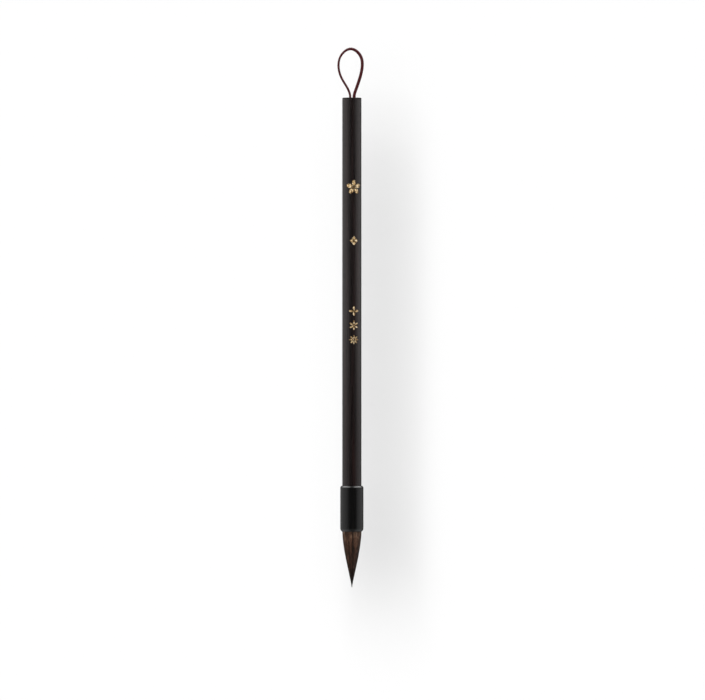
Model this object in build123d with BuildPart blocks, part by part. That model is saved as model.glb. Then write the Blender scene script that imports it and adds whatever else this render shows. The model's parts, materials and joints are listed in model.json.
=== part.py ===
from build123d import *
import os
from math import cos, radians, sin

# Calligraphy brush, hanging point down.
# The origin is the brush's point, +Z runs up along the shaft to the hanging loop,
# and -Y is the face with the gold ornaments. Millimetres.

# ---- driving dimensions -----------------------------------------------------

tuft_length = 24.5  # free hair, from the ferrule's mouth to the point
tip_radius = 0.1
ferrule_length = 20.1
ferrule_radius = 5.08
shaft_length = 170.1  # what shows above the ferrule
shaft_radius = 4.2
loop_height = 21.4  # of the cord's centre line above the shaft's top face

glue_gap = 0.05  # between pieces that are glued together

# ---- ferrule ----------------------------------------------------------------

mouth_radius = 4.3  # bore that takes the hair roots
mouth_depth = 10.0
tenon_bore_radius = 3.3
lip_height = 1.5  # the lip rounds in from here to the mouth
lip_round = 1.7
shoulder_round = 1.0

# ---- shaft ------------------------------------------------------------------

tenon_radius = tenon_bore_radius - glue_gap
tenon_length = 8.0
tenon_chamfer = 0.5
groove_depth = 0.25  # glue grooves round the tenon
groove_width = 0.6
groove_count = 3
groove_pitch = 1.8
top_round = 0.4
cavity_radius = 2.6  # drilled from the top for the cord's knot
cavity_depth = 14.0
plug_length = 6.0
passage_radius = 1.6  # through the plug, for the two strands

# ---- cord -------------------------------------------------------------------

cord_radius = 0.45
hinge_lift = 0.6  # the loop flops about a line this far above the shaft's top face
end_round = 0.4  # of the strand ends, which turn on that line
left_strand = -0.75  # where the two strands leave the plug
right_strand = 0.99
knot_radius = 1.9
knot_height = 3.4
tail_length = 3.0

# ---- tuft -------------------------------------------------------------------

swing_depth = 7.0  # the tuft bends about a point this far below the mouth
swing_radius = 3.6  # the hair's radius there
swing_clearance = 0.35  # between the swinging hair and its root
root_length = 9.0  # of the bound roots inside the ferrule
collar_length = 0.6  # of the root above its thread
waist_radius = 3.62  # of the roots under the thread
thread_radius = 0.2
thread_turns = 5
thread_pitch = 0.44
resin_thickness = 0.7
layer_gap = 0.05
lining_end = 8.0  # heights where the shorter layers stop, above the point
mantle_end = 4.0

# ---- gold ornaments ---------------------------------------------------------

face_turn = 13.0  # degrees from the front towards +X
engraving_depth = 0.45
gold_recess = 0.2  # the gold lies this far below the wood
gold_gap = 0.02
blossom_height = 175.4  # heights of their centres above the point
diamond_height = 152.0
top_floret_height = 121.2
floret_pitch = 6.3

# A reach runs from an ornament's centre to the middle of its petals, stamens or rhombi.
blossom_petals = 5
blossom_petal_size = (1.15, 0.88)  # half length, half width
blossom_reach = 2.0
stamen_radius = 0.2
stamen_reach = 0.84
blossom_heart_radius = 0.38
rhombus_size = (0.8, 0.95)  # half width, half height
rhombus_reach = (1.0, 1.15)  # across, up
floret_petal_half_length = 0.78
floret_reach = 1.28
floret_heart_radius = 0.3

# ---- heights worked out from them -------------------------------------------

mouth = tuft_length
swing = mouth - swing_depth
ferrule_top = mouth + ferrule_length
ferrule_step = mouth + mouth_depth
root_top = mouth + root_length
shaft_bottom = ferrule_top + glue_gap
shaft_top = ferrule_top + shaft_length
hinge_height = shaft_top + hinge_lift

# Outlines are (radius, height) from the mouth down to the point.
tuft_outline = [
    (mouth_radius - glue_gap, mouth),
    (4.12, 21.5),
    (swing_radius, swing),
    (2.92, 13.7),
    (1.99, 9.3),
    (1.21, 5.9),
    (0.64, 3.3),
    (tip_radius, 0),
]
core_outline = [(1.4, swing), (1.2, 12.0), (0.85, 7.0), (0.5, 3.0), (tip_radius, 0)]
lining_outline = [(2.65, swing), (2.2, 12.5), (1.3, lining_end)]

# The loop's centre line is (across, rise above the shaft's top face).
loop_outline = [
    (left_strand, hinge_lift),
    (-1.8, 3.7),
    (-4.7, 8.95),
    (-5.85, 13.8),
    (-4.87, 18.15),
    (-0.4, loop_height),
    (3.81, 18.15),
    (4.54, 13.8),
    (3.65, 8.95),
    (1.85, 3.7),
    (right_strand, hinge_lift),
]


def widened(outline, gap):
    """The same outline, moved out from the axis by a gap."""
    return [(radius + gap, height) for radius, height in outline]


# ---- shaft and its plug -----------------------------------------------------


def face_plane(height):
    """Upright plane through the axis that looks out at the ornaments."""
    turn = radians(face_turn)
    return Plane(
        origin=(0, 0, height),
        x_dir=(cos(turn), sin(turn), 0),
        z_dir=(sin(turn), -cos(turn), 0),
    )


def blossom(grow):
    """Round petals, a stamen between each two, and a heart."""
    half_length, half_width = blossom_petal_size
    with PolarLocations(blossom_reach, blossom_petals, start_angle=90):
        Ellipse(half_length + grow, half_width + grow)
    with PolarLocations(stamen_reach, blossom_petals, start_angle=90 + 180 / blossom_petals):
        Circle(stamen_radius + grow)
    Circle(blossom_heart_radius + grow)


def diamond(grow):
    """Four small rhombi set in one large one."""
    half_width, half_height = (half + grow for half in rhombus_size)
    across, up = rhombus_reach
    with Locations((across, 0), (0, up), (-across, 0), (0, -up)):
        Polygon((half_width, 0), (0, half_height), (-half_width, 0), (0, -half_height))


def floret(grow, petals, half_width):
    """Narrow petals round a heart."""
    with PolarLocations(floret_reach, petals, start_angle=90):
        Ellipse(floret_petal_half_length + grow, half_width + grow)
    Circle(floret_heart_radius + grow)


def shell(inner, outer):
    """Round shell along the whole shaft, to cut an ornament's layer from."""
    with BuildPart() as layer:
        with BuildSketch(Plane.XY.offset(shaft_bottom)):
            Circle(outer)
            Circle(inner, mode=Mode.SUBTRACT)
        extrude(amount=shaft_length)
    return layer.part


def ornament(name, grow, layer):
    """An outline pushed out through the shaft's face and kept where it meets a layer."""
    draw, shape, height = ornaments[name]
    with BuildPart() as piece:
        with BuildSketch(face_plane(height)):
            draw(grow, *shape)
        extrude(amount=shaft_radius + engraving_depth)
        add(layer, mode=Mode.INTERSECT)
    return piece


# Each ornament's outline, a floret's petal count and half width, and its height.
ornaments = {
    "gold_blossom": (blossom, (), blossom_height),
    "gold_diamond": (diamond, (), diamond_height),
    "gold_floret_upper": (floret, (4, 0.5), top_floret_height),
    "gold_floret_middle": (floret, (6, 0.36), top_floret_height - floret_pitch),
    "gold_floret_lower": (floret, (8, 0.28), top_floret_height - 2 * floret_pitch),
}

engraving_floor = shaft_radius - engraving_depth
engraving_layer = shell(engraving_floor, shaft_radius + engraving_depth)
gold_layer = shell(engraving_floor + gold_gap, shaft_radius - gold_recess)

with BuildPart() as shaft:
    with BuildSketch(Plane.XY.offset(shaft_bottom)):
        Circle(shaft_radius)
    extrude(amount=shaft_top - shaft_bottom)
    fillet(shaft.edges().sort_by(Axis.Z)[-1], top_round)
    with BuildSketch(Plane.XY.offset(shaft_bottom)):
        Circle(tenon_radius)
    extrude(amount=-tenon_length)
    chamfer(shaft.edges().sort_by(Axis.Z)[0], tenon_chamfer)
    for turn in range(groove_count):
        with BuildSketch(Plane.XY.offset(shaft_bottom - (turn + 1) * groove_pitch)):
            Circle(tenon_radius + glue_gap)
            Circle(tenon_radius - groove_depth, mode=Mode.SUBTRACT)
        extrude(amount=groove_width, mode=Mode.SUBTRACT)
    with Locations((0, 0, shaft_top)):
        Hole(cavity_radius, depth=cavity_depth)
    for name in ornaments:
        add(ornament(name, gold_gap, engraving_layer).part, mode=Mode.SUBTRACT)

with BuildPart() as end_plug:
    with BuildSketch(Plane.XY.offset(shaft_top)):
        Circle(cavity_radius - glue_gap)
        Circle(passage_radius, mode=Mode.SUBTRACT)
    extrude(amount=-plug_length)

# ---- ferrule ----------------------------------------------------------------

with BuildPart() as ferrule:
    with BuildSketch(Plane.XZ):
        with BuildLine():
            RadiusArc(
                (mouth_radius, mouth),
                (ferrule_radius, mouth + lip_height),
                -lip_round,
            )
            Polyline(
                (ferrule_radius, mouth + lip_height),
                (ferrule_radius, ferrule_top),
                (tenon_bore_radius, ferrule_top),
                (tenon_bore_radius, ferrule_step),
                (mouth_radius, ferrule_step),
                (mouth_radius, mouth),
            )
        make_face()
    revolve(axis=Axis.Z)
    rim = ferrule.edges().filter_by(GeomType.CIRCLE).group_by(Axis.Z)[-1]
    fillet(rim.sort_by(SortBy.RADIUS)[-1], shoulder_round)

# ---- tuft: the bound root ---------------------------------------------------


def turned(outline, top):
    """Solid of revolution under an outline, closed by the axis and carried up to a height."""
    with BuildPart() as body:
        with BuildSketch(Plane.XZ):
            with BuildLine():
                Spline(*outline)
                Polyline(outline[0], (outline[0][0], top), (0, top), (0, outline[-1][1]), outline[-1])
            make_face()
        revolve(axis=Axis.Z)
    return body.part


thread_length = thread_turns * thread_pitch
waist_top = root_top - collar_length
waist_bottom = waist_top - thread_length - 2 * thread_radius

with BuildPart() as tuft_root:
    add(turned(tuft_outline, root_top))
    split(bisect_by=Plane.XY.offset(swing), keep=Keep.TOP)
    with Locations((0, 0, swing)):
        Sphere(swing_radius + swing_clearance, mode=Mode.SUBTRACT)
    with BuildSketch(Plane.XY.offset(waist_bottom)):
        Circle(mouth_radius)
        Circle(waist_radius, mode=Mode.SUBTRACT)
    extrude(amount=waist_top - waist_bottom, mode=Mode.SUBTRACT)

with BuildPart() as root_thread:
    coil_radius = waist_radius + layer_gap + thread_radius
    coil_bottom = waist_bottom + thread_radius
    with BuildLine():
        coil = Helix(thread_pitch, thread_length, coil_radius, center=(0, 0, coil_bottom))
    with BuildSketch(Plane(origin=coil @ 0, z_dir=coil % 0)):
        Circle(thread_radius)
    sweep(path=coil, is_frenet=True)

with BuildPart() as root_resin:
    with BuildSketch(Plane.XY.offset(root_top + layer_gap)):
        Circle(mouth_radius - glue_gap)
    extrude(amount=resin_thickness)

# ---- tuft: the free hairs, in three layers ----------------------------------

# All that swings stays under a dome centred on the swing point.
with BuildPart() as swing_room:
    with Locations((0, 0, swing)):
        Sphere(swing_radius)
    with BuildSketch(Plane.XY.offset(swing)):
        Circle(mouth_radius)
    extrude(amount=-swing)

dome_top = swing + swing_radius

with BuildPart() as core_hairs:
    add(turned(core_outline, dome_top))
    add(swing_room.part, mode=Mode.INTERSECT)

with BuildPart() as lining_hairs:
    add(turned(lining_outline, dome_top))
    add(turned(widened(core_outline, layer_gap), dome_top), mode=Mode.SUBTRACT)
    add(swing_room.part, mode=Mode.INTERSECT)

with BuildPart() as mantle_hairs:
    add(turned(tuft_outline, root_top))
    split(bisect_by=Plane.XY.offset(mantle_end), keep=Keep.TOP)
    add(turned(widened(core_outline, layer_gap), dome_top), mode=Mode.SUBTRACT)
    add(turned(widened(lining_outline, layer_gap), dome_top), mode=Mode.SUBTRACT)
    add(swing_room.part, mode=Mode.INTERSECT)

# ---- cord -------------------------------------------------------------------

with BuildPart() as hanging_loop:
    with BuildLine(Plane.XZ):
        Spline(
            *[(across, shaft_top + rise) for across, rise in loop_outline],
            tangents=[(0, 1), (0, -1)],
        )
        for strand in (left_strand, right_strand):
            Line((strand, hinge_height - cord_radius), (strand, hinge_height))
    with BuildSketch(Plane(origin=(left_strand, 0, hinge_height - cord_radius))):
        Circle(cord_radius)
    sweep()
    fillet(hanging_loop.edges().group_by(Axis.Z)[0], end_round)

with BuildPart() as cord_knot:
    knot_top = shaft_top - plug_length - glue_gap
    with Locations((0, 0, knot_top - knot_height / 2)):
        Cylinder(knot_radius, knot_height)
    fillet(cord_knot.edges().filter_by(GeomType.CIRCLE), knot_radius / 2)
    with BuildSketch(Plane.XY.offset(knot_top - knot_height - tail_length)):
        with Locations((left_strand, 0), (right_strand, 0)):
            Circle(cord_radius)
    extrude(amount=tail_length + knot_height + glue_gap + plug_length)

# ---- labels and files -------------------------------------------------------

pieces = {
    "shaft": shaft,
    "end_plug": end_plug,
    "ferrule": ferrule,
    "tuft_root": tuft_root,
    "root_thread": root_thread,
    "root_resin": root_resin,
    "core_hairs": core_hairs,
    "lining_hairs": lining_hairs,
    "mantle_hairs": mantle_hairs,
    "hanging_loop": hanging_loop,
    "cord_knot": cord_knot,
}
for name in ornaments:
    pieces[name] = ornament(name, 0, gold_layer)

os.makedirs("parts", exist_ok=True)
for name, piece in pieces.items():
    piece.part.label = name
    export_step(piece.part, "parts/" + name + ".step")
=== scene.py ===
import json
import math

import bpy
import numpy as np
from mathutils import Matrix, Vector


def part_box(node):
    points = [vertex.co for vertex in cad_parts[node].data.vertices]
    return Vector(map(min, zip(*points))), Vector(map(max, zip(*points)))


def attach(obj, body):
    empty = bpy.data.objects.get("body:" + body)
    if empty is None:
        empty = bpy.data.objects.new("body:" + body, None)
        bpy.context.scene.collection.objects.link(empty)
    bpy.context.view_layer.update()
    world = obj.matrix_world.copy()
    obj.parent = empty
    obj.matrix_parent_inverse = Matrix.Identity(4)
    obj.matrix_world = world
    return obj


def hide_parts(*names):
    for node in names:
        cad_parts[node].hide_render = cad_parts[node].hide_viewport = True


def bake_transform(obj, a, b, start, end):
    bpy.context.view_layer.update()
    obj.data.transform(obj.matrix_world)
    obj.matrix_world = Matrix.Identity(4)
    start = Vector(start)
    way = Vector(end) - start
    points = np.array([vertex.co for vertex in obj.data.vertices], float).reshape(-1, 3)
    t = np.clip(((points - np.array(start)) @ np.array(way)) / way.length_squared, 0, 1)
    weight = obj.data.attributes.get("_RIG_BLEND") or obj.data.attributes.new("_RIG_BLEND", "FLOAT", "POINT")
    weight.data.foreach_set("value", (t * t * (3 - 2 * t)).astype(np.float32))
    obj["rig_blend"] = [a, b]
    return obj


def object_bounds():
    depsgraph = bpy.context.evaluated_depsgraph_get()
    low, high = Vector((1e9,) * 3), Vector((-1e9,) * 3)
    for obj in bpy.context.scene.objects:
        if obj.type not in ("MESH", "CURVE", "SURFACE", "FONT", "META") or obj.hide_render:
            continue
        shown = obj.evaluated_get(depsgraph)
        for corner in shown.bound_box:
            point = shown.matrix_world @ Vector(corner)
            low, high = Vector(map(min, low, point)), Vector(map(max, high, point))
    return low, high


# Looks for the calligraphy brush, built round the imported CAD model. Metres.
# The brush hangs point down: +Z runs up the shaft, and -Y is the face with the ornaments.

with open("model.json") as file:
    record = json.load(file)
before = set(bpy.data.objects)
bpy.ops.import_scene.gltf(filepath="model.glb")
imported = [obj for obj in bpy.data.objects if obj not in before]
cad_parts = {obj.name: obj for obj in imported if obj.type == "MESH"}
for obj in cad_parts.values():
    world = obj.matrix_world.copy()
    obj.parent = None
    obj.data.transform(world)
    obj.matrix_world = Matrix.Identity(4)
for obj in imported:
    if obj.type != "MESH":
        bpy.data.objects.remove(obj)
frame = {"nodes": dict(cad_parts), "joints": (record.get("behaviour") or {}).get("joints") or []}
cad_low, cad_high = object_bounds()

MM = 0.001
rng = np.random.default_rng(7)

# ---- places, all read from the frame ----------------------------------------

ferrule_low, ferrule_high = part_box("ferrule")
shaft_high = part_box("shaft")[1]
root_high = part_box("tuft_root")[1]
loop_low, loop_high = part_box("hanging_loop")
knot_low, knot_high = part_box("cord_knot")

mouth = ferrule_low.z
ferrule_top = ferrule_high.z
shaft_top = shaft_high.z
mouth_radius = root_high.x
root_top = root_high.z
tip = cad_low.z
pivots = {joint["name"]: Vector(joint["pos_m"]) for joint in frame["joints"]}
swing = pivots["tuft_bend"].z
flop = pivots["loop_flop"].z


# ---- node helpers -----------------------------------------------------------


class Shader:
    """A node tree that is built up by short calls."""

    def __init__(self, owner):
        owner.use_nodes = True
        self.tree = owner.node_tree
        self.tree.nodes.clear()

    def node(self, kind, inputs=None, **settings):
        made = self.tree.nodes.new("ShaderNode" + kind)
        for name, value in settings.items():
            setattr(made, name, value)
        for name, value in (inputs or {}).items():
            self.feed(made.inputs[name], value)
        return made

    def feed(self, socket, value):
        if isinstance(value, bpy.types.NodeSocket):
            self.tree.links.new(value, socket)
        elif isinstance(value, (tuple, list)) and len(value) == 3 and socket.type == "RGBA":
            socket.default_value = (*value, 1)
        else:
            socket.default_value = value

    def math(self, operation, first, second=0.0):
        return self.node("Math", {0: first, 1: second}, operation=operation).outputs[0]

    def scaled(self, vector, factors):
        return self.node("VectorMath", {0: vector, 1: factors}, operation="MULTIPLY").outputs[0]

    def noise(self, vector, detail, roughness=0.55, distortion=0.0):
        inputs = {
            "Vector": vector,
            "Scale": 1.0,
            "Detail": detail,
            "Roughness": roughness,
            "Distortion": distortion,
        }
        return self.node("TexNoise", inputs).outputs["Fac"]

    def ramp(self, factor, stops):
        made = self.node("ValToRGB", {"Fac": factor})
        band = made.color_ramp
        while len(band.elements) < len(stops):
            band.elements.new(0.5)
        for element, (position, colour) in zip(band.elements, stops):
            element.position = position
            element.color = (*colour, 1)
        return made.outputs["Color"]

    def range(self, value, low, high, to_low, to_high, smooth=False):
        inputs = {"Value": value, "From Min": low, "From Max": high, "To Min": to_low, "To Max": to_high}
        kind = "SMOOTHSTEP" if smooth else "LINEAR"
        return self.node("MapRange", inputs, interpolation_type=kind).outputs["Result"]

    def mix(self, factor, first, second, blend="MIX"):
        made = self.node("Mix", data_type="RGBA", blend_type=blend)
        self.feed(made.inputs[0], factor)
        self.feed(made.inputs[6], first)
        self.feed(made.inputs[7], second)
        return made.outputs[2]

    def bump(self, height, depth, under=None):
        made = self.node("Bump", {"Height": height, "Strength": 1.0, "Distance": depth})
        if under is not None:
            self.feed(made.inputs["Normal"], under)
        return made.outputs["Normal"]

    def place(self):
        return self.node("TexCoord").outputs["Object"]

    def attribute(self, name):
        return self.node("Attribute", attribute_name=name).outputs["Fac"]

    def surface(self, **inputs):
        made = self.node("BsdfPrincipled", {k.replace("_", " "): v for k, v in inputs.items()})
        self.node("OutputMaterial", {"Surface": made.outputs[0]})


def material(name):
    made = bpy.data.materials.new(name)
    return made, Shader(made)


def finish_with(piece, made):
    """Gives a piece, or a CAD node, one material on every slot."""
    if not piece.data.materials:
        piece.data.materials.append(made)
    for index in range(len(piece.data.materials)):
        piece.data.materials[index] = made


# ---- materials --------------------------------------------------------------


HELD_UP_TO = 55 * MM  # fingers dull the shaft up to this height above the point
WAXED_FROM = 125 * MM  # and it keeps its full shine from here up
SAWN_FROM, SAWN_TO = 0.75 * MM, 0.4 * MM  # depths below the shaft's top where the sawn edge begins


def sandalwood():
    """Near-black purple-brown wood, waxed, with long grain and short open pores.

    It is duller towards the ferrule, where fingers hold it, and on the sawn top edge."""
    made, s = material("sandalwood")
    place = s.place()
    figure = s.noise(s.scaled(place, (620, 620, 16)), detail=5, distortion=0.4)
    fibre = s.noise(s.scaled(place, (3400, 3400, 70)), detail=3)
    pores = s.noise(s.scaled(place, (8200, 8200, 520)), detail=1)
    colour = s.ramp(figure, [
        (0.30, (0.0016, 0.0013, 0.0014)),
        (0.50, (0.0028, 0.0020, 0.0020)),
        (0.62, (0.0062, 0.0034, 0.0033)),
        (0.78, (0.0150, 0.0070, 0.0060)),
    ])
    colour = s.mix(s.range(fibre, 0.45, 0.75, 0, 0.3), colour, (0.012, 0.0068, 0.0056))
    open_pore = s.range(pores, 0.66, 0.74, 0, 1)
    colour = s.mix(open_pore, colour, (0.002, 0.0015, 0.0015))
    height = s.node("SeparateXYZ", {0: place}).outputs["Z"]
    sawn = s.range(height, shaft_top - SAWN_FROM, shaft_top - SAWN_TO, 0, 1, smooth=True)
    rough = s.math("MAXIMUM", s.range(fibre, 0.3, 0.7, 0.25, 0.34), s.math("MULTIPLY", sawn, 0.85))
    handled = s.range(height, HELD_UP_TO, WAXED_FROM, 0.31, 0.46, smooth=True)
    shine = s.math("MULTIPLY", handled, s.range(sawn, 0, 1, 1.0, 0.35))
    normal = s.bump(fibre, 0.006 * MM)
    normal = s.bump(s.math("SUBTRACT", 1.0, open_pore), 0.008 * MM, normal)
    s.surface(
        Base_Color=colour,
        Roughness=rough,
        Normal=normal,
        Specular_IOR_Level=shine,
        Specular_Tint=(1.0, 0.94, 0.93),
    )
    return made


def plug_wood():
    """The same wood cut across, so the pores show as dots and the rings as arcs."""
    made, s = material("plug_wood")
    place = s.place()
    rings = s.noise(s.scaled(place, (1500, 420, 60)), detail=4)
    pores = s.noise(s.scaled(place, (9000, 9000, 600)), detail=1)
    colour = s.ramp(rings, [(0.35, (0.010, 0.007, 0.006)), (0.65, (0.030, 0.017, 0.013))])
    colour = s.mix(s.range(pores, 0.62, 0.70, 0, 1), colour, (0.003, 0.002, 0.002))
    s.surface(Base_Color=colour, Roughness=0.6, Normal=s.bump(pores, 0.02 * MM))
    return made


def black_horn():
    """Polished black horn: faint lighter streaks, fine turning marks, duller rubbed edges."""
    made, s = material("black_horn")
    place = s.place()
    streak = s.noise(s.scaled(place, (500, 500, 36)), detail=5, distortion=0.8)
    turning = s.noise(s.scaled(place, (60, 60, 9000)), detail=2)
    haze = s.noise(s.scaled(place, (900, 900, 700)), detail=4)
    colour = s.ramp(streak, [
        (0.35, (0.0018, 0.0018, 0.0019)),
        (0.60, (0.0029, 0.0028, 0.0027)),
        (0.80, (0.0070, 0.0058, 0.0048)),
    ])
    height = s.node("SeparateXYZ", {0: place}).outputs["Z"]
    lip = s.range(height, mouth + 1.6 * MM, mouth + 0.2 * MM, 0, 1, smooth=True)
    shoulder = s.range(height, ferrule_top - 0.7 * MM, ferrule_top - 0.1 * MM, 0, 1, smooth=True)
    rubbed = s.math("MULTIPLY", s.math("MAXIMUM", lip, shoulder), s.range(haze, 0.35, 0.65, 0.4, 1))
    colour = s.mix(s.math("MULTIPLY", rubbed, 0.3), colour, (0.016, 0.015, 0.014))
    rough = s.math("ADD", s.range(haze, 0.3, 0.7, 0.17, 0.21), s.math("MULTIPLY", rubbed, 0.05))
    normal = s.bump(turning, 0.0008 * MM)
    s.surface(Base_Color=colour, Roughness=rough, Normal=normal, Specular_IOR_Level=0.3)
    return made


def gold_fill():
    """Gold paint and leaf pressed into the engraving, uneven and a little worn, with painted highlights and
    painted shade in its patches.
    """
    made, s = material("gold_fill")
    place = s.place()
    patch = s.noise(s.scaled(place, (2100, 2100, 2100)), detail=4, roughness=0.6)
    grit = s.noise(s.scaled(place, (9000, 9000, 9000)), detail=2)
    # The dark brown stop is painted shade and the cream stop a painted highlight, both laid in random
    # patches over the uneven gold.
    colour = s.ramp(patch, [
        (0.39, (0.050, 0.028, 0.010)),
        (0.46, (0.290, 0.160, 0.056)),
        (0.54, (0.670, 0.460, 0.205)),
        (0.63, (1.000, 0.890, 0.660)),
    ])
    colour = s.mix(s.range(grit, 0.60, 0.72, 0, 0.6), colour, (0.06, 0.035, 0.015))
    rough = s.range(patch, 0.3, 0.7, 0.50, 0.32)
    normal = s.bump(s.math("ADD", patch, s.math("MULTIPLY", grit, 0.5)), 0.05 * MM)
    s.surface(Base_Color=colour, Metallic=0.35, Roughness=rough, Normal=normal)
    return made


def hair(name, root_colour, belly_colour, point_colour):
    """Hair that darkens from the mouth to the point, each strand in its own tone.

    Streaks run along the strands. Soft patches run across them, and bleach the hair in
    places near the mouth."""
    made, s = material(name)
    along = s.attribute("along")
    tone = s.attribute("tone")
    colour = s.ramp(along, [
        # Painted shade: this first stop darkens the hair just below the mouth, where the ferrule's lip
        # shades it.
        (0.01, tuple(0.68 * part for part in root_colour)),
        (0.08, root_colour),
        (0.42, belly_colour),
        (0.78, tuple(0.4 * a + 0.6 * b for a, b in zip(belly_colour, point_colour))),
        (0.90, point_colour),
    ])
    length = s.node("SeparateXYZ", {0: s.node("UVMap", uv_map="strand").outputs[0]}).outputs["Y"]
    lane = s.node("CombineXYZ", {0: s.math("MULTIPLY", length, 260), 1: s.math("MULTIPLY", tone, 90)})
    streak = s.noise(lane.outputs[0], detail=3)
    shade = s.math("MULTIPLY", s.range(tone, 0, 1, 0.30, 1.9), s.range(streak, 0.3, 0.7, 0.45, 1.5))
    mottle = s.noise(s.scaled(s.place(), (1500, 1500, 430)), detail=3, distortion=0.5)
    shade = s.math("MULTIPLY", shade, s.range(mottle, 0.38, 0.62, 0.42, 1.6))
    grey = s.node("CombineColor", {0: shade, 1: shade, 2: shade}).outputs[0]
    colour = s.mix(1.0, colour, grey, "MULTIPLY")
    bleached = s.math("MULTIPLY", s.range(tone, 0.80, 0.95, 0, 0.8), s.range(along, 0.36, 0.05, 0, 1))
    colour = s.mix(s.math("MULTIPLY", bleached, streak), colour, (0.21, 0.15, 0.11))
    flecked = s.math("MULTIPLY", s.range(mottle, 0.55, 0.65, 0, 0.52), s.range(along, 0.24, 0.04, 0, 1))
    colour = s.mix(flecked, colour, (0.17, 0.12, 0.088))
    rough = s.range(streak, 0.3, 0.7, 0.5, 0.66)
    s.surface(Base_Color=colour, Roughness=rough, Specular_IOR_Level=0.2)
    return made


def cord_silk():
    """Dark maroon plied cord with fine fibres along each yarn."""
    made, s = material("cord_silk")
    tone = s.attribute("tone")
    uv = s.node("UVMap", uv_map="strand").outputs[0]
    fibre = s.noise(s.scaled(uv, (7, 900, 1)), detail=3)
    colour = s.mix(tone, (0.034, 0.0042, 0.0050), (0.066, 0.0080, 0.0095))
    colour = s.mix(s.range(fibre, 0.35, 0.7, 0, 0.55), colour, (0.012, 0.0020, 0.0024))
    s.surface(
        Base_Color=colour,
        Roughness=0.5,
        Specular_IOR_Level=0.15,
        Sheen_Weight=0.03,
        Sheen_Roughness=0.4,
        Normal=s.bump(fibre, 0.02 * MM),
    )
    return made


def binding_thread():
    """Waxed off-white thread with a fine twist."""
    made, s = material("binding_thread")
    twist = s.noise(s.scaled(s.place(), (5200, 5200, 9000)), detail=3)
    colour = s.ramp(twist, [(0.35, (0.42, 0.36, 0.26)), (0.65, (0.74, 0.68, 0.55))])
    s.surface(Base_Color=colour, Roughness=0.65, Sheen_Weight=0.2, Normal=s.bump(twist, 0.03 * MM))
    return made


def rosin():
    """Amber seal, with cloudy patches and small bubbles."""
    made, s = material("rosin")
    cloud = s.noise(s.scaled(s.place(), (700, 700, 700)), detail=4)
    bubble = s.noise(s.scaled(s.place(), (3800, 3800, 3800)), detail=1)
    colour = s.ramp(cloud, [(0.3, (0.16, 0.045, 0.010)), (0.7, (0.42, 0.16, 0.035))])
    s.surface(
        Base_Color=colour,
        Roughness=s.range(bubble, 0.4, 0.7, 0.12, 0.35),
        Coat_Weight=0.4,
        Normal=s.bump(bubble, 0.04 * MM),
    )
    return made


# ---- mesh helpers -----------------------------------------------------------


def mesh_piece(name, points, faces, attributes, uv=None):
    """A smooth-shaded mesh from points and faces, with one float attribute per name."""
    mesh = bpy.data.meshes.new(name)
    mesh.from_pydata([tuple(p) for p in points], [], faces)
    mesh.polygons.foreach_set("use_smooth", [True] * len(mesh.polygons))
    for key, values in attributes.items():
        made = mesh.attributes.new(key, "FLOAT", "POINT")
        made.data.foreach_set("value", np.asarray(values, np.float32))
    if uv is not None:
        layer = mesh.uv_layers.new(name="strand")
        corners = np.zeros(len(mesh.loops), np.int32)
        mesh.loops.foreach_get("vertex_index", corners)
        layer.data.foreach_set("uv", np.asarray(uv, np.float32)[corners].ravel())
    mesh.update()
    piece = bpy.data.objects.new(name, mesh)
    bpy.context.scene.collection.objects.link(piece)
    return piece


def ring_faces(rings, sides, first):
    """Quads between successive rings, and a cap on each end."""
    faces = []
    for ring in range(rings - 1):
        base = first + ring * sides
        for side in range(sides):
            after = (side + 1) % sides
            faces.append((base + side, base + after, base + sides + after, base + sides + side))
    faces.append(tuple(range(first + sides - 1, first - 1, -1)))
    last = first + (rings - 1) * sides
    faces.append(tuple(range(last, last + sides)))
    return faces


ASIDE = (0.3, 1.0, 0.2)  # a direction that no tube starts along


def tube_points(centres, radii, sides):
    """Rings square to a path, kept from twisting by carrying one direction along it."""
    tangents = np.gradient(centres, axis=0)
    tangents /= np.linalg.norm(tangents, axis=1)[:, None]
    across = np.cross(tangents[0], ASIDE)
    angles = np.linspace(0, 2 * np.pi, sides, endpoint=False)
    rings = []
    for centre, tangent, radius in zip(centres, tangents, radii):
        across = across - tangent * (across @ tangent)
        across /= np.linalg.norm(across)
        other = np.cross(tangent, across)
        ring = np.outer(np.cos(angles), across) + np.outer(np.sin(angles), other)
        rings.append(centre + radius * ring)
    return np.concatenate(rings)


class Bundle:
    """Many tubes gathered into one mesh."""

    def __init__(self):
        self.points, self.faces, self.uv = [], [], []
        self.attributes = {"tone": [], "along": []}
        self.count = 0

    def add(self, centres, radii, sides, tone, along):
        points = tube_points(centres, radii, sides)
        self.faces += ring_faces(len(centres), sides, self.count)
        self.points.append(points)
        self.count += len(points)
        self.attributes["tone"].append(np.full(len(points), tone))
        self.attributes["along"].append(np.repeat(along, sides))
        steps = np.linalg.norm(np.diff(centres, axis=0), axis=1)
        length = np.repeat(np.concatenate([[0], np.cumsum(steps)]), sides)
        turn = np.tile(np.arange(sides) / sides, len(centres))
        self.uv.append(np.stack([turn, length], axis=1))

    def piece(self, name):
        points = np.concatenate(self.points)
        attributes = {key: np.concatenate(values) for key, values in self.attributes.items()}
        return mesh_piece(name, points, self.faces, attributes, np.concatenate(self.uv))


# ---- the tuft ---------------------------------------------------------------

tuft_length = mouth - tip
TUCK = 1.2 * MM  # how far the free hairs reach up into the ferrule
TIP_RADIUS = 0.1 * MM
BELLY, TAPER = 1.6, 1.24  # powers that shape the tuft's outline
MANTLE_HAIRS = 1700
POINT_HAIRS = 240
CLUMPS = 36  # locks that the mantle's hairs gather in
FLUTES = (9, 14, 22, 31, 37)  # waves round the tuft's body, laid over one another
BEND_REACH = 5.2 * MM  # the hair curves over this much above and below the hinge


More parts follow.
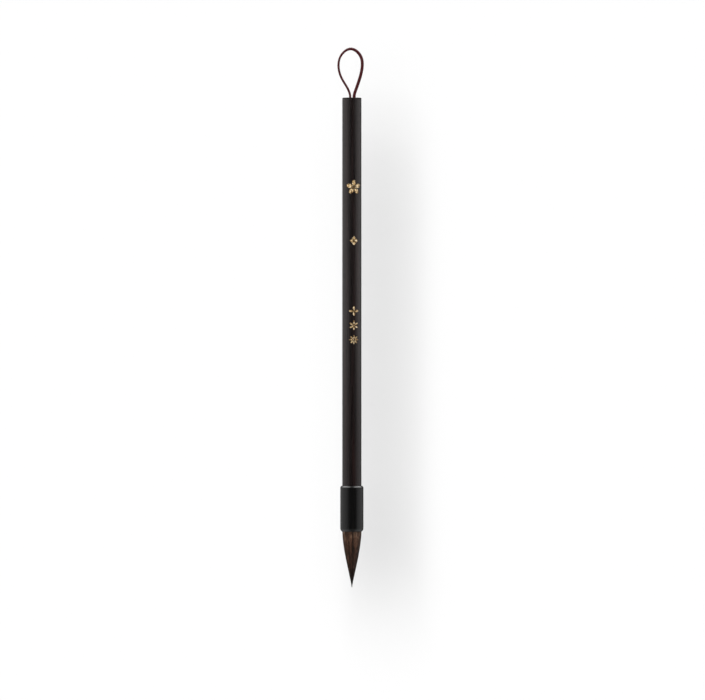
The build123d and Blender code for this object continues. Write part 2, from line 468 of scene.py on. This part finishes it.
def tuft_radius(share):
    """The tuft's outline: full at the mouth (share 0), a fine point at share 1."""
    share = np.clip(share, 0, 1)
    return mouth_radius * (1 - share**BELLY) ** TAPER + TIP_RADIUS * share


def share_height(share):
    return mouth - share * tuft_length


def tuft_body(name, fullness, ends_at):
    """Solid bundle of hair: a fluted, pointed body whose flutes run from mouth to point."""
    rings, sides = 72, 96
    shares = np.concatenate([[-TUCK / tuft_length], np.linspace(0, ends_at, rings - 1)])
    angles = -np.linspace(0, 2 * np.pi, sides, endpoint=False)  # so that faces look outward
    flutes = sum(
        rng.uniform(0.3, 1.0) * np.cos(count * angles + rng.uniform(0, 2 * np.pi))
        for count in FLUTES
    )
    flutes /= np.abs(flutes).max()
    points, tone, along, uv = [], [], [], []
    for share in shares:
        radius = tuft_radius(share) * fullness * (1 + 0.035 * flutes)
        height = np.full(sides, share_height(share))
        points.append(np.stack([radius * np.cos(angles), radius * np.sin(angles), height], axis=1))
        # Painted shade: the lining's low tone darkens it as shade in the gaps between the locks, and the
        # tone follows the flutes, darker in their hollows.
        tone.append(0.15 + 0.12 * flutes)
        along.append(np.full(sides, max(share, 0)))
        uv.append(np.stack([angles / (2 * np.pi), np.full(sides, share * tuft_length)], axis=1))
    attributes = {"tone": np.concatenate(tone), "along": np.concatenate(along)}
    faces = ring_faces(len(shares), sides, 0)
    return mesh_piece(name, np.concatenate(points), faces, attributes, np.concatenate(uv))


def strand(bundle, angle, depth, starts_at, ends_at, thickness, tone, drift):
    """One tapered hair along the tuft's outline.

    depth is its share of the outline's radius, and drift the angle that it turns through."""
    steps, sides = 13, 4
    end_share = 0.12  # of its thickness that is left at its end
    shares = np.linspace(starts_at, ends_at, steps)
    done = (shares - starts_at) / (ends_at - starts_at)
    radii = thickness * (end_share + (1 - end_share) * (1 - done) ** 0.6)
    reach = np.maximum(tuft_radius(shares) * depth - radii, 0.0)
    wave = 0.02 * np.sin(6 * done + 40 * angle)
    turn = angle + drift * done**1.1 + wave
    centres = np.stack([reach * np.cos(turn), reach * np.sin(turn), share_height(shares)], axis=1)
    bundle.add(centres, radii, sides, tone, np.clip(shares, 0, 1))


def mantle_strands(name, count):
    """The outer hairs. Those of one clump share a tone, lean together and close on its tip."""
    own_tone = 0.25  # share of a hair's tone that isn't its clump's
    bundle = Bundle()
    middles = 2 * np.pi * (np.arange(CLUMPS) + rng.uniform(-0.45, 0.45, CLUMPS)) / CLUMPS
    tones = rng.uniform(0.05, 0.95, CLUMPS)
    leans = 0.16 * rng.standard_normal(CLUMPS)
    tips = 1 - 0.36 * rng.uniform(0, 1, CLUMPS) ** 1.4
    proud = rng.uniform(0.965, 1.0, CLUMPS)
    for index in range(count):
        angle = 2 * np.pi * (index + rng.uniform(-0.8, 0.8)) / count
        offsets = (middles - angle + np.pi) % (2 * np.pi) - np.pi
        clump = int(np.argmin(np.abs(offsets)))
        gathered = 0.22 * offsets[clump]
        strand(
            bundle,
            angle + gathered,
            depth=proud[clump] - 0.05 * rng.uniform() ** 2,
            starts_at=-TUCK / tuft_length,
            ends_at=float(np.clip(tips[clump] - 0.10 * rng.uniform() ** 2, 0.5, 1)),
            thickness=rng.uniform(0.035, 0.065) * MM,
            tone=(1 - own_tone) * tones[clump] + own_tone * rng.uniform(),
            drift=leans[clump] + 0.5 * offsets[clump] + 0.05 * rng.standard_normal(),
        )
    return bundle.piece(name)


def point_strands(name, count):
    """The core hairs that make the point, showing below the mantle."""
    bundle = Bundle()
    for index in range(count):
        strand(
            bundle,
            angle=2 * np.pi * (index + rng.uniform(-0.5, 0.5)) / count,
            depth=rng.uniform(0.6, 1.0),
            starts_at=0.42,
            ends_at=1.0 - 0.05 * rng.uniform() ** 2,
            thickness=rng.uniform(0.045, 0.07) * MM,
            tone=rng.uniform(0.2, 0.7),
            drift=0.1 * rng.standard_normal(),
        )
    return bundle.piece(name)


def bound_root(name):
    """The roots inside the ferrule, nipped in under their thread."""
    rings, sides = 40, 96
    thread_low, thread_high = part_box("root_thread")
    angles = np.linspace(0, 2 * np.pi, sides, endpoint=False)
    flutes = 0.5 * np.cos(23 * angles) + 0.5 * np.cos(37 * angles + 1)
    waist = thread_high.x - 0.42 * MM  # just inside the thread
    full = mouth_radius * 0.985
    flare = 0.9 * MM  # from the thread to where the root is full again
    points, tone, uv = [], [], []
    heights = np.linspace(mouth + 0.3 * MM, root_top, rings)
    for height in heights:
        outside = min(abs(height - thread_low.z), abs(height - thread_high.z))
        inside = thread_low.z < height < thread_high.z
        ease = 0.0 if inside else min(outside / flare, 1.0)
        radius = (waist + (full - waist) * ease) * (1 + 0.008 * flutes)
        level = np.full(sides, height)
        points.append(np.stack([radius * np.cos(angles), radius * np.sin(angles), level], axis=1))
        # Painted shade: the tone follows the flutes, darker in their hollows.
        tone.append(0.5 + 0.3 * flutes)
        uv.append(np.stack([angles / (2 * np.pi), level], axis=1))
    attributes = {"tone": np.concatenate(tone), "along": np.zeros(rings * sides)}
    faces = ring_faces(rings, sides, 0)
    return mesh_piece(name, np.concatenate(points), faces, attributes, np.concatenate(uv))


# ---- the cord ---------------------------------------------------------------

CORD_WIDE, CORD_THIN = 0.48 * MM, 0.315 * MM  # half widths of the braid, between yarns' centres
YARN_RADIUS = 0.165 * MM
YARNS_EACH_WAY = 4
BRAID_PITCH = 2.6 * MM
BRAID_LIFT = 0.14  # share by which a yarn rises and dips as it crosses the others
CORE_RADIUS = 0.24 * MM
LEFT_TWIST = 80  # degrees that the flat cord is turned edge-on in the loop's left side
CORD_BEND = 2.4 * MM  # the cord curves up to this far above the hinge

# The loop's centre line, as shares of the CAD loop's width and of its rise above the hinge.
LOOP_LINE = [
    (0.491, 0.000),
    (0.409, 0.147),
    (0.143, 0.396),
    (0.040, 0.627),
    (0.126, 0.831),
    (0.522, 0.980),
    (0.894, 0.831),
    (0.959, 0.627),
    (0.875, 0.396),
    (0.718, 0.147),
    (0.645, 0.000),
]


def smooth_line(points, step):
    """Natural cubic spline through points, sampled at an even spacing."""
    points = np.array(points, float)
    knots = np.concatenate([[0], np.cumsum(np.linalg.norm(np.diff(points, axis=0), axis=1))])
    gaps = np.diff(knots)[:, None]
    slopes = np.diff(points, axis=0) / gaps
    system = np.eye(len(points))
    target = np.zeros_like(points)
    for i in range(1, len(points) - 1):
        system[i, i - 1 : i + 2] = gaps[i - 1, 0], 2 * (gaps[i - 1, 0] + gaps[i, 0]), gaps[i, 0]
        target[i] = 6 * (slopes[i] - slopes[i - 1])
    bends = np.linalg.solve(system, target)
    places = np.linspace(0, knots[-1], int(knots[-1] / step) + 1)
    span = np.clip(np.searchsorted(knots, places, side="right") - 1, 0, len(gaps) - 1)
    run = (places - knots[span])[:, None]
    gap, bend, after = gaps[span], bends[span], bends[span + 1]
    linear = slopes[span] - gap * (2 * bend + after) / 6
    return points[span] + run * (linear + run * (bend / 2 + run * (after - bend) / (6 * gap))), places


def cord_line():
    """From the left tail below the knot, up through the plug, round the loop and back down."""
    width = loop_high.x - loop_low.x
    rise = loop_high.z - flop
    loop = [(loop_low.x + x * width, 0, flop + z * rise) for x, z in LOOP_LINE]
    low = knot_low.z
    ends = [low + share * (flop - low) for share in (0, 0.35, 0.7, 0.92)]
    up = [(loop[0][0], 0, z) for z in ends]
    down = [(loop[-1][0], 0, z) for z in reversed(ends)]
    return smooth_line(up + loop + down, 0.11 * MM)


def braided_cord(name):
    """Flat-oval braid: four yarns turn each way round a core, crossing over and under."""
    line, places = cord_line()
    tangents = np.gradient(line, axis=0)
    tangents /= np.linalg.norm(tangents, axis=1)[:, None]
    out_of_loop = np.tile((0.0, 1.0, 0.0), (len(line), 1))
    in_loop = np.cross(tangents, out_of_loop)
    share = places / places[-1]
    untwisted = np.clip((share - 0.38) / 0.2, 0, 1)  # it turns flat over the top of the loop
    turned = np.radians(LEFT_TWIST) * (1 - untwisted)
    turns = 2 * np.pi * places / BRAID_PITCH
    bundle = Bundle()
    for way in (1, -1):
        for yarn in range(YARNS_EACH_WAY):
            start = 2 * np.pi * yarn / YARNS_EACH_WAY + (0 if way == 1 else np.pi / YARNS_EACH_WAY)
            angle = way * turns + start
            weave = 1 + BRAID_LIFT * way * np.cos(YARNS_EACH_WAY * turns)
            major = CORD_WIDE * weave * np.cos(angle)
            minor = CORD_THIN * weave * np.sin(angle)
            side = major * np.cos(turned) - minor * np.sin(turned)
            front = major * np.sin(turned) + minor * np.cos(turned)
            centres = line + side[:, None] * in_loop + front[:, None] * out_of_loop
            radii = np.full(len(line), YARN_RADIUS)
            bundle.add(centres, radii, 7, rng.uniform(0.2, 0.8), share)
    core = np.full(len(line), CORE_RADIUS)
    bundle.add(line, core, 6, 0.1, share)
    return bundle.piece(name)


def cord_wraps(name):
    """The knot under the plug: turns of the cord drawn tight round both strands."""
    low = knot_low.z + 0.25 * (knot_high.z - knot_low.z)
    high = low + 3.2 * MM
    turns = 3.5
    yarns, twists = 3, 9
    yarn_offset, yarn_radius = 0.19 * MM, 0.24 * MM
    angles = np.linspace(0, 2 * np.pi * turns, 240)
    rise = np.linspace(0, 1, len(angles))
    radius = knot_high.x - 0.55 * MM + 0.12 * MM * np.sin(np.pi * rise)
    heights = low + (high - low) * rise
    line = np.stack([radius * np.cos(angles), radius * np.sin(angles), heights], axis=1)
    outward = line * (1, 1, 0)
    outward /= np.linalg.norm(outward, axis=1)[:, None]
    bundle = Bundle()
    for yarn in range(yarns):
        twist = twists * angles / turns + 2 * np.pi * yarn / yarns
        offset = np.cos(twist)[:, None] * outward + np.sin(twist)[:, None] * (0, 0, 1)
        radii = np.full(len(line), yarn_radius)
        bundle.add(line + yarn_offset * offset, radii, 8, rng.uniform(0.2, 0.8), rise)
    return bundle.piece(name)


# ---- dress the CAD nodes ----------------------------------------------------

nodes = frame["nodes"]
finish_with(nodes["shaft"], sandalwood())
finish_with(nodes["end_plug"], plug_wood())
finish_with(nodes["ferrule"], black_horn())
finish_with(nodes["root_thread"], binding_thread())
finish_with(nodes["root_resin"], rosin())
gold = gold_fill()
for name, node in nodes.items():
    if name.startswith("gold_"):
        finish_with(node, gold)

# ---- build the soft pieces --------------------------------------------------


def stand_for(piece, node, finish):
    """Gives a piece its finish, and shows it in the place of a CAD node."""
    finish_with(piece, finish)
    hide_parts(node)


mantle_hair = hair(
    "mantle_hair",
    root_colour=(0.041, 0.0202, 0.0122),
    belly_colour=(0.0235, 0.0114, 0.0073),
    point_colour=(0.0050, 0.0032, 0.0028),
)
core_hair = hair(
    "core_hair",
    root_colour=(0.018, 0.0100, 0.0070),
    belly_colour=(0.0120, 0.0070, 0.0050),
    point_colour=(0.0040, 0.0029, 0.0026),
)

lining = tuft_body("lining_bundle", fullness=0.94, ends_at=0.97)
mantle = mantle_strands("mantle_hair_strands", MANTLE_HAIRS)
point = point_strands("point_hair_strands", POINT_HAIRS)
for piece, node, finish, slot in (
    (lining, "lining_hairs", mantle_hair, "lining_hair"),
    (mantle, "mantle_hairs", mantle_hair, "mantle_hair"),
    (point, "core_hairs", core_hair, "core_hair"),
):
    stand_for(piece, node, finish)
    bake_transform(piece, "handle", "tuft", start=(0, 0, swing + BEND_REACH), end=(0, 0, swing - BEND_REACH))

root = bound_root("bound_root")
stand_for(root, "tuft_root", mantle_hair)
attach(root, "handle")

cord_finish = cord_silk()
cord = braided_cord("braided_cord")
stand_for(cord, "hanging_loop", cord_finish)
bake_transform(cord, "handle", "loop", start=(0, 0, shaft_top), end=(0, 0, flop + CORD_BEND))

wraps = cord_wraps("cord_knot_wraps")
stand_for(wraps, "cord_knot", cord_finish)
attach(wraps, "handle")


# ---- stage, light and camera ------------------------------------------------

SHEET_GAP = 60 * MM  # from the brush's axis back to the sheet
SHEET_HALF = 0.8  # half of its side
SHEET_FILL = 0.2050  # its own light, which brings it to white with the keys' light


def pale_sheet():
    """The white sheet that the brush hangs in front of. It is clear from behind."""
    half = SHEET_HALF
    outline = ((-half, -half), (half, -half), (half, half), (-half, half))
    corners = [(x, SHEET_GAP, z) for x, z in outline]
    sheet = mesh_piece("pale_sheet", corners, [(0, 1, 2, 3)], {})
    made, s = material("pale_sheet")
    paper = s.node("BsdfDiffuse", {"Color": (0.60, 0.60, 0.60)})
    fill = s.node("Emission", {"Color": (1, 1, 1), "Strength": SHEET_FILL})
    lit = s.node("AddShader", {0: paper.outputs[0], 1: fill.outputs[0]})
    clear = s.node("BsdfTransparent")
    behind = s.node("NewGeometry").outputs["Backfacing"]
    mixed = s.node("MixShader", {0: behind, 1: lit.outputs[0], 2: clear.outputs[0]})
    s.node("OutputMaterial", {"Surface": mixed.outputs[0]})
    finish_with(sheet, made)
    sheet.visible_glossy = False


def studio_world():
    """White to the camera, a soft grey fill, and the room that shows in the polished surfaces.

    The reflected room has pale walls on both sides, a dark front and back, a pale floor that
    is darker straight below, and a softbox high up on each side."""
    world = bpy.data.worlds.new("studio")
    bpy.context.scene.world = world
    s = Shader(world)
    ray = s.node("TexCoord").outputs["Generated"]
    x, y, z = s.node("SeparateXYZ", {0: ray}).outputs
    level = s.node("VectorMath", {0: s.scaled(ray, (1, 1, 0))}, operation="LENGTH").outputs["Value"]
    side = s.math("DIVIDE", x, s.math("MAXIMUM", level, 0.01))
    left_wall = s.range(side, -0.30, -1.05, 0.02, 1.07, smooth=True)
    right_wall = s.range(side, 0.54, 1.03, 0.02, 1.11, smooth=True)
    walls = s.math("MULTIPLY", s.math("ADD", left_wall, right_wall), 0.88)
    sideways = s.range(s.math("ABSOLUTE", x), 0.10, 0.5, 0.10, 1, smooth=True)
    high = s.range(z, 0.25, 0.55, 0, 1, smooth=True)
    near = s.range(y, 0.75, 0.3, 0.05, 1, smooth=True)
    boxes = s.math("MULTIPLY", s.math("MULTIPLY", sideways, high), s.math("MULTIPLY", near, 6.5))
    floor = s.range(z, -0.2, -0.6, 0, 0.43, smooth=True)
    floor = s.math("MULTIPLY", floor, s.range(z, -0.6, -0.85, 1, 0.4, smooth=True))
    reflected = s.math("ADD", walls, s.math("ADD", boxes, floor))
    path = s.node("LightPath")
    fill, white = 0.07, 1.0
    soft = s.node("Mix", {0: path.outputs["Is Glossy Ray"], 2: fill, 3: reflected}).outputs[0]
    seen = s.node("Mix", {0: path.outputs["Is Camera Ray"], 2: soft, 3: white})
    background = s.node("Background", {"Color": (1, 1, 1), "Strength": seen.outputs[0]})
    s.node("OutputWorld", {"Surface": background.outputs[0]})
    world.cycles.sampling_method = "NONE"


def key_lights():
    """A tall softbox far off to the upper left, as three suns whose light overlaps."""
    for name, energy, angle, sideways, down in (
        ("key_upper", 1.72, 31, 0.24, 0.14),
        ("key_lower", 1.85, 31, 0.24, 0.53),
        ("key_wide", 0.75, 50, 0.17, 0.31),
    ):
        lamp = bpy.data.lights.new(name, "SUN")
        lamp.energy = energy
        lamp.angle = math.radians(angle)
        key = bpy.data.objects.new(name, lamp)
        bpy.context.scene.collection.objects.link(key)
        key.rotation_euler = Vector((sideways, 1, -down)).to_track_quat("-Z", "Y").to_euler()
        key.visible_glossy = False


def camera():
    """Level with the middle of the brush, with a long lens, in front of the ornaments."""
    lens = bpy.data.cameras.new("camera")
    eye = bpy.data.objects.new("camera", lens)
    bpy.context.scene.collection.objects.link(eye)
    height = cad_high.z - cad_low.z
    distance = 3.0
    aside = 0.28 * MM
    picture_width = 1.307 * height  # at the brush
    eye.location = (aside, -distance, cad_low.z + 0.44 * height)
    eye.rotation_euler = (math.radians(90), 0, 0)
    lens.lens = lens.sensor_width * distance / picture_width
    lens.clip_start = 0.01
    lens.clip_end = 10
    bpy.context.scene.camera = eye


pale_sheet()
studio_world()
key_lights()
camera()
bpy.context.scene.view_settings.view_transform = "Standard"
